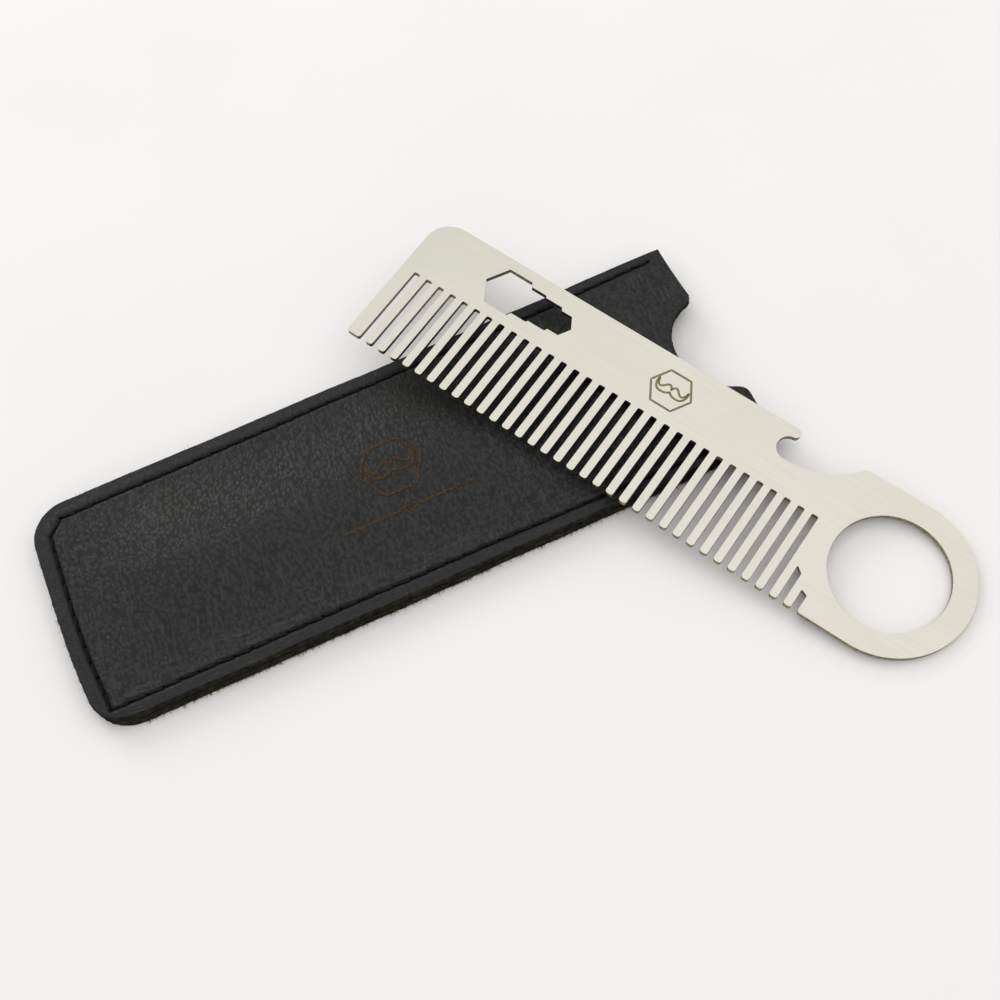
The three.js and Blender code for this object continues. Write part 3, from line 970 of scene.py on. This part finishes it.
def panel_faces(rows, columns, level_count, top_step, under_step):
    """A panel's faces, and for each of them 0 if it has the finish and 1 if it is raw.

    Its points come in this order: the top's grid, a ring for each level of the cut edge,
    and the underside's grid.
    """
    ring = border(rows, columns)
    ring_count = len(ring)
    first_ring = rows * columns
    first_under = first_ring + ring_count * level_count
    loops = [ring]
    loops += [[first_ring + ring_count * k + i for i in range(ring_count)]
              for k in range(level_count)]
    loops.append([first_under + i for i in ring])
    faces = grid_cells(rows, columns, top_step, True)
    kinds = [0] * len(faces)
    for k, (upper, lower) in enumerate(zip(loops, loops[1:])):
        for i in range(ring_count):
            j = (i + 1) % ring_count
            faces.append((upper[i], upper[j], lower[j], lower[i]))
            kinds.append(0 if k == 0 else 1)
    under_faces = grid_cells(rows, columns, under_step, False)
    faces += [[first_under + i for i in face] for face in under_faces]
    return faces, kinds + [1] * len(under_faces)


# %% Hand-cut outline
# Shares by which V grows: along the far side, and on the near side from the closed end on.
far_flares = (0, 110, sheath_length), (-0.010, 0.008, 0.022)
near_flare, near_widening, flare_end = -0.003, 0.006, 40
# How far the closed end's corners lie back, how far out its middle is, and where that ends.
far_bow, near_bow, bow_out, bow_end = 0.7, 1.1, 0.1, 30
outline_wander = 0.12
# How far inside the lower edge the upper one lies, at some places along the near side.
knife_leans, lean_start = ((0, 60, sheath_length), (0.85, 0.5, 0.35)), 23.2


def hand_cut(u, v):
    """Moves points of the true outline to where the knife really went."""
    far_flare = np.interp(u, *far_flares)
    flare = np.where(v > 0, far_flare, near_flare + near_widening * fade(u, 0, flare_end))
    side_bow = np.where(v > 0, far_bow, near_bow)
    bow = (side_bow * (v / half_width) ** 2 - bow_out) * fade(-u, -bow_end, 0)
    wander_u = outline_wander * bumps(u, v, 9, 9, 21)
    wander_v = outline_wander * bumps(u, v, 11, 11, 22)
    return u + bow + wander_u, v * (1 + flare) + wander_v


def cut_place(u, v, height):
    """A point of the sheet where the knife left it: on the near side the knife leaned."""
    cut_u, cut_v = hand_cut(u, v)
    lean = np.interp(u, *knife_leans) * fade(-v, lean_start, half_width)
    return cut_u, cut_v + lean * height / (2 * leather + seam_gap)


# %% The cut edge, level by level
wall_rows = [0.22, 0.36, 0.50, 0.64, 0.78]
coarse_rag, fine_rag = 0.16, 0.10


def wall_levels():
    """Down the cut edge: how far out and how far down in mm, and how rough from 0 to 1."""
    turns = [math.radians(t) for t in (30, 60, 90)]
    levels = [(lip * math.sin(t), lip * (1 - math.cos(t)), 0.25) for t in turns]
    levels += [(lip, share_down * leather, 1.0) for share_down in wall_rows]
    return levels + [(lip - 0.06, leather - 0.18, 0.8), (lip - 0.2, leather - 0.04, 0.4)]


def way_out(u, v, ring):
    """A unit vector out of the sheet at each point of its border."""
    before, after = np.roll(ring, 2), np.roll(ring, -2)
    tangent = np.stack([u[after] - u[before], v[after] - v[before]], 1)
    tangent /= np.linalg.norm(tangent, axis=1)[:, None]
    outward = np.stack([-tangent[:, 1], tangent[:, 0]], 1)
    middle = np.array([sheath_length / 2, 0])
    facing = ((np.stack([u[ring], v[ring]], 1) - middle) * outward).sum()
    return outward if facing >= 0 else -outward


# %% A leather panel
def leather_panel(name, top, under, notch, top_step, under_step, fine, coarse, seed):
    """A sheet between two height functions.

    The steps say how many grid lines a face of the top and of the underside spans. Fine
    and coarse are the grid's spacings in mm, by the edge and inside. The seed fixes how
    the cut edge is ragged.
    """
    across, along = grid_lines(fine, coarse, notch, math.lcm(top_step, under_step))
    v, share = np.meshgrid(across, along, indexing="ij")
    low, high = closed_edge(v, lip), mouth_edge(v, lip, notch)
    u = low + (high - low) * share
    rows, columns = u.shape
    u, v = u.ravel(), v.ravel()
    ring = np.array(border(rows, columns))
    outward = way_out(u, v, ring)
    edge_top = top(u[ring], v[ring])
    tall = edge_top - under(u[ring], v[ring])
    length_round = np.cumsum(np.hypot(*np.diff(np.stack([u[ring], v[ring]]), axis=1, prepend=0)))

    surface = top(u, v)
    points = [np.stack([*cut_place(u, v, surface), surface], 1)]
    levels = wall_levels()
    for number, (out, down, rough) in enumerate(levels):
        at_level = np.full_like(length_round, number)
        ragged = rough * (coarse_rag * bumps(length_round, at_level, 0.9, 1.4, seed)
                          + fine_rag * bumps(length_round, at_level, 0.5, 0.7, seed + 1))
        ring_u = u[ring] + outward[:, 0] * (out + ragged)
        ring_v = v[ring] + outward[:, 1] * (out + ragged)
        height = edge_top - down * tall / leather
        points.append(np.stack([*cut_place(ring_u, ring_v, height), height], 1))
    hidden = under(u, v)
    points.append(np.stack([*cut_place(u, v, hidden), hidden], 1))

    faces, kinds = panel_faces(rows, columns, len(levels), top_step, under_step)
    points = np.concatenate(points)
    used = np.unique(np.concatenate([np.asarray(face) for face in faces]))
    place = np.full(len(points), -1)
    place[used] = np.arange(len(used))
    faces = [[int(place[i]) for i in face] for face in faces]
    piece = new_piece(name, points[used], faces, [cowhide, hide_edge], sheath_frame)
    piece.data.polygons.foreach_set("material_index", kinds)
    # The painted shade of the stitch channel and needle holes, on the top's points only.
    on_top = used[used < rows * columns]
    shade = np.zeros(len(used))
    shade[:len(on_top)] = channel_shade(u[on_top], v[on_top])
    piece.data.attributes.new("seam_painted_shade", "FLOAT", "POINT").data.foreach_set("value", shade)
    return piece


# %% The two panels
front = leather_panel("formed_front_panel", front_top, front_under, front_notch,
                      top_step=1, under_step=5, fine=0.25, coarse=0.42, seed=31)
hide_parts("sheath_front_panel")
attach(front, "sheath")

back = leather_panel("flat_back_panel", back_top, back_under, back_notch,
                     top_step=4, under_step=2, fine=0.4, coarse=0.6, seed=41)
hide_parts("sheath_back_panel")
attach(back, "sheath")

# %% [markdown]
# ## The lock stitches
#
# In a lock stitch one thread stays on top and one below, and they hook round each other
# inside the leather. On the surface each stitch is a short bridge from hole to hole, lying
# in its channel and slanting a little, because the thread's twist rolls it to one side.
# The thread has three plies, so three thin tubes are wound round the path.

# %% Thread path and plies
ply_radius = 0.125
ply_offset = 0.115
twist_length = 1.5
dive_depth, dive_width = 1.0, 0.26


def stitch_path(surface, above, steps, slant):
    """A thread's line: over the surface between holes, and down into each hole."""
    path = []
    for (u0, v0), (u1, v1) in zip(holes, holes[1:]):
        run = math.dist((u0, v0), (u1, v1))
        side_u, side_v = -(v1 - v0) / run, (u1 - u0) / run
        for step in range(steps):
            share = step / steps
            lean = slant * math.sin(2 * math.pi * share)
            u, v = u0 + (u1 - u0) * share + side_u * lean, v0 + (v1 - v0) * share + side_v * lean
            to_hole = min(share, 1 - share) * run
            dive = dive_depth * math.exp(-(to_hole / dive_width) ** 2)
            path.append((u, v, dive))
    rows = np.array(path)
    flat = surface(rows[:, 0], rows[:, 1])
    along = np.hypot(np.gradient(rows[:, 0]), np.gradient(rows[:, 1])).cumsum()
    rising = math.copysign(1, above)
    height = flat + above - rising * rows[:, 2]
    u, v = hand_cut(rows[:, 0], rows[:, 1])
    return np.stack([u, v, height], 1), along


def wound_plies(path, along, plies=3, sides=6):
    """Tubes wound round a path: one ring of points per step of the path and per ply."""
    tangent = np.gradient(path, axis=0)
    tangent /= np.linalg.norm(tangent, axis=1)[:, None]
    side = np.cross(tangent, [0, 0, 1])
    side /= np.maximum(np.linalg.norm(side, axis=1)[:, None], 1e-6)
    upward = np.cross(side, tangent)
    points, faces = [], []
    for ply in range(plies):
        turn = 2 * np.pi * (along / twist_length + ply / plies)
        centre = path + ply_offset * (np.cos(turn)[:, None] * side + np.sin(turn)[:, None] * upward)
        base = len(points) * len(path) * sides
        rings = []
        for k in range(sides):
            around = 2 * np.pi * k / sides
            rings.append(centre + ply_radius * (math.cos(around) * side + math.sin(around) * upward))
        points.append(np.stack(rings, 1).reshape(-1, 3))
        for i in range(len(path) - 1):
            for k in range(sides):
                a, b = base + i * sides + k, base + i * sides + (k + 1) % sides
                faces.append((a, b, b + sides, a + sides))
        last = base + (len(path) - 1) * sides
        faces.append(tuple(base + k for k in reversed(range(sides))))
        faces.append(tuple(last + k for k in range(sides)))
    return np.concatenate(points), faces


# %% The two threads
def channel_floor(u, v):
    """The front panel's surface without the needle holes' dimples."""
    return front_top(u, v) + dimple_depth * hole_dimples(u, v, dimple_radius)


needle_path, needle_run = stitch_path(channel_floor, above=0.16, steps=16, slant=0.10)
needle = new_piece("needle_thread_stitches", *wound_plies(needle_path, needle_run),
                   [thread_yarn], sheath_frame)
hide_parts("needle_thread")
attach(needle, "sheath")

bobbin_path, bobbin_run = stitch_path(back_under, above=-0.30, steps=10, slant=0.05)
bobbin = new_piece("bobbin_thread_stitches", *wound_plies(bobbin_path, bobbin_run, sides=5),
                   [thread_yarn], sheath_frame)
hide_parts("bobbin_thread")
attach(bobbin, "sheath")

# %% [markdown]
# ## Fibres on the cut edge
#
# A knife leaves hide with a nap: single fibres and small tufts stand out from the cut edge,
# most of them low down, where the loose flesh side is. Each is a three-sided tube that
# tapers to a point. They are scattered round the outline with a fixed seed.

# %% Edge fibres
fibre_count = 3400
lowest_fibre, fibre_heights, fibre_settling = 0.08, 3.8, 2.4
shortest_fibre, usual_fibre, longest_fibre = 0.2, 0.2, 1.2
root_depth, floor_gap = 0.1, 0.05


def outline_point(share):
    """A point on the three sewn sides and the way out from it, at a share of their run."""
    sides = [(closed_corner, half_width, sheath_length, half_width),
             (0, half_width - closed_corner, 0, closed_corner - half_width),
             (closed_corner, -half_width, sheath_length, -half_width)]
    outs = [(0, 1), (-1, 0), (0, -1)]
    lengths = [math.dist(s[:2], s[2:]) for s in sides]
    place = share * sum(lengths)
    for side, out, run in zip(sides, outs, lengths):
        if place <= run:
            t = place / run
            return side[0] + (side[2] - side[0]) * t, side[1] + (side[3] - side[1]) * t, out
        place -= run
    return sides[-1][2], sides[-1][3], outs[-1]


def edge_fibres():
    """Points and faces of all fibres: four rings of three points each."""
    pick = np.random.default_rng(51)
    points, faces = [], []
    for _ in range(fibre_count):
        u, v, out = outline_point(pick.random())
        height = lowest_fibre + fibre_heights * pick.random() ** fibre_settling
        u, v = (float(x) for x in cut_place(u, v, height))
        reach = min(shortest_fibre + pick.gamma(2.0, usual_fibre), longest_fibre)
        along = np.array([-out[1], out[0], 0.0]) * pick.normal(0, 0.7)
        way = np.array([out[0], out[1], 0.0]) + along + np.array([0, 0, pick.normal(-0.1, 0.3)])
        way /= np.linalg.norm(way)
        bend = pick.normal(0, 0.35, 3)
        thick = pick.uniform(0.04, 0.08)
        start = np.array([u - root_depth * out[0], v - root_depth * out[1], height])
        base = len(points)
        for ring in range(4):
            t = ring / 3
            centre = start + way * reach * t + bend * reach * t * t * 0.5
            centre[2] = max(centre[2], floor_gap)
            for k in range(3):
                turn = 2 * math.pi * k / 3
                flat = np.array([-way[1], way[0], 0.0])
                points.append(centre + thick * (1.05 - t) * (
                    math.cos(turn) * flat + math.sin(turn) * np.array([0, 0, 1.0])))
        for ring in range(3):
            for k in range(3):
                a, b = base + ring * 3 + k, base + ring * 3 + (k + 1) % 3
                faces.append((a, b, b + 3, a + 3))
        faces.append((base + 2, base + 1, base))
        faces.append((base + 9, base + 10, base + 11))
    return points, faces


fibres = new_piece("edge_fibres", *edge_fibres(), [hide_fibre], sheath_frame)
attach(fibres, "sheath")

# %% [markdown]
# ## The emblem
#
# A plain emblem is marked on both parts: a moustache inside a hexagon, like the spanner
# cut-out. It is drawn as lines of one width. On the steel they are oxide, and on the
# leather they are burned in, with a ruled line and a small diamond below.


# %% Emblem lines
def bezier(*knots, steps=14):
    """Points along cubic curves: a start, then two handles and an end for each curve."""
    points = [Vector(knots[0])]
    for i in range(1, len(knots), 3):
        a, b, c, d = points[-1], *(Vector(k) for k in knots[i:i + 3])
        for step in range(1, steps + 1):
            t = step / steps
            points.append(a * (1 - t) ** 3 + b * 3 * t * (1 - t) ** 2
                          + c * 3 * t * t * (1 - t) + d * t ** 3)
    return [tuple(point) for point in points]


def moustache():
    """One closed line, 2 units wide, with a dip in the middle and curled ends."""
    right = bezier((0, 0.02), (0.06, 0.20), (0.20, 0.28), (0.34, 0.20),
                   (0.50, 0.10), (0.62, -0.06), (0.78, -0.02),
                   (0.90, 0.02), (0.98, 0.14), (1.0, 0.34),
                   (1.10, 0.06), (0.98, -0.22), (0.66, -0.26),
                   (0.42, -0.29), (0.14, -0.24), (0, -0.10))
    left = [(-x, y) for x, y in reversed(right[1:-1])]
    return right + left


def ring_through(corners, steps):
    """Points along the straight sides of a closed shape, so many steps to a side."""
    points = []
    for (x0, y0), (x1, y1) in zip(corners, corners[1:] + corners[:1]):
        points += [(x0 + (x1 - x0) * s / steps, y0 + (y1 - y0) * s / steps)
                   for s in range(steps)]
    return points


def hexagon_ring():
    """A hexagon of radius 1 with two corners on the X axis."""
    turns = [math.radians(t) for t in range(0, 360, 60)]
    return ring_through([(math.cos(t), math.sin(t)) for t in turns], 8)


def marked_line(path, width, closed, surface, proud):
    """A thin closed strip along a path, lying on a surface and standing a hair proud."""
    path = np.array(path)
    if closed:
        ahead, behind = np.roll(path, -1, 0), np.roll(path, 1, 0)
    else:
        ahead = np.vstack([path[1:], path[-1:]])
        behind = np.vstack([path[:1], path[:-1]])
    tangent = ahead - behind
    tangent /= np.linalg.norm(tangent, axis=1)[:, None]
    normal = np.stack([-tangent[:, 1], tangent[:, 0]], 1) * width / 2
    rows = []
    for side, rise in ((1, -proud), (1, proud), (-1, proud), (-1, -proud)):
        edge = path + side * normal
        rows.append(np.column_stack([edge, surface(edge[:, 0], edge[:, 1]) + rise]))
    points = np.stack(rows, 1).reshape(-1, 3)
    faces, count = [], len(path)
    for i in range(count if closed else count - 1):
        j = (i + 1) % count
        faces += [(i * 4 + k, i * 4 + (k + 1) % 4, j * 4 + (k + 1) % 4, j * 4 + k) for k in range(4)]
    if not closed:
        faces += [(3, 2, 1, 0), tuple((count - 1) * 4 + k for k in range(4))]
    return points, faces


def emblem(name, lines, surface, proud, width, material, place):
    """All lines of an emblem as one piece, this wide and this far proud of the surface."""
    points, faces = [], []
    for path, closed in lines:
        more_points, more_faces = marked_line(path, width, closed, surface, proud)
        faces += [tuple(len(points) + i for i in face) for face in more_faces]
        points += more_points.tolist()
    return new_piece(name, points, faces, [material], place)


def placed(shape, centre, size, stretch=1.0):
    """A shape scaled by a size, stretched upwards, and moved to a centre."""
    return [(centre[0] + x * size, centre[1] + y * size * stretch) for x, y in shape]


# %% Emblem on the comb
comb_mark, comb_hexagon, comb_moustache = (64.3, 27.3), 4.9, 3.5
moustache_stretch = 1.35


def plate_surface(x, y):
    """The comb's upper face, which is flat."""
    return np.full(np.shape(x), plate_thickness)


comb_lines = [(placed(hexagon_ring(), comb_mark, comb_hexagon), True),
              (placed(moustache(), comb_mark, comb_moustache, moustache_stretch), True)]
comb_emblem = emblem("comb_emblem", comb_lines, plate_surface, proud=0.012, width=0.48,
                     material=steel_mark, place=comb_frame)
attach(comb_emblem, "comb")

# %% Emblem on the sheath
sheath_mark, sheath_hexagon, sheath_moustache = (73.6, 1.6), 6.9, 5.0
rule_line, rule_half, diamond = -8.6, 14.6, 1.5
rule_start = diamond * 1.4
sheath_lines = [(placed(hexagon_ring(), sheath_mark, sheath_hexagon), True),
                (placed(moustache(), sheath_mark, sheath_moustache, moustache_stretch), True)]
for side in (-1, 1):
    run = np.linspace(rule_start, rule_half, 30)
    sheath_lines.append(([(sheath_mark[0] + side * x, rule_line) for x in run], False))
diamond_ring = ring_through([(diamond, 0), (0, diamond), (-diamond, 0), (0, -diamond)], 5)
sheath_lines.append((placed(diamond_ring, (sheath_mark[0], rule_line), 1.0), True))
sheath_emblem = emblem("sheath_emblem", sheath_lines, front_top, proud=0.05, width=0.62,
                       material=hide_burn, place=sheath_frame)
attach(sheath_emblem, "sheath")

# %% [markdown]
# ## Studio
#
# The floor is plain white card. The light is a white tent, which is the world, under a
# large soft panel whose reflection fills the whole face of the comb. A smaller soft lamp
# stands low on the left: it picks out the leather's grain and casts the faint soft shadows
# to the right.

# %% Floor and light
floor_half, floor_drop, tent_strength = 3.0, 0.02, 0.64
floor_mesh = bpy.data.meshes.new("white_card_floor")
floor_mesh.from_pydata([(x * floor_half, y * floor_half, -floor_drop * MM)
                        for x, y in ((-1, -1), (1, -1), (1, 1), (-1, 1))], [], [(0, 1, 2, 3)])
floor = bpy.data.objects.new("white_card_floor", floor_mesh)
bpy.context.scene.collection.objects.link(floor)
card, card_tree, card_output = new_material("white_card")
card_place = add(card_tree, "TexCoord").outputs["Object"]
card_tooth = add(card_tree, "TexNoise", {"Vector": card_place, "Scale": per_mm(60), "Detail": 2})
card_tone = ramp(card_tree, card_tooth.outputs["Fac"],
                 (0.3, linear("#f0efef")), (0.7, linear("#f2f1f1")))
card_shader = add(card_tree, "BsdfPrincipled", {"Base Color": card_tone, "Roughness": 0.9})
card_tree.links.new(card_shader.outputs["BSDF"], card_output.inputs["Surface"])
floor_mesh.materials.append(card)

world = bpy.data.worlds.new("light_tent")
bpy.context.scene.world = world
world.use_nodes = True
tent = world.node_tree.nodes["Background"]
tent.inputs["Color"].default_value = linear("#fbfaf9")
tent.inputs["Strength"].default_value = tent_strength


def soft_lamp(name, shape, place, width, watts, tint):
    """A square or round area lamp in metres and watts, aimed at the middle of the floor."""
    lamp = bpy.data.lights.new(name, "AREA")
    lamp.shape = shape
    lamp.size = width
    lamp.energy = watts
    lamp.color = linear(tint)[:3]
    holder = bpy.data.objects.new(name, lamp)
    holder.location = place
    holder.rotation_euler = (-Vector(place)).to_track_quat("-Z", "Y").to_euler()
    bpy.context.scene.collection.objects.link(holder)


soft_lamp("overhead_panel", "SQUARE", (0.12, 0.25, 1.3), width=1.8, watts=8.4, tint="#fffdfb")
soft_lamp("left_window", "DISK", (-1.4, 0.35, 0.75), width=0.9, watts=7.5, tint="#fffdfa")
bpy.context.scene.view_settings.view_transform = "Standard"

# %% [markdown]
# ## Finish
#
# The scene is brought up to date once more.

# %% Finish
bpy.context.view_layer.update()
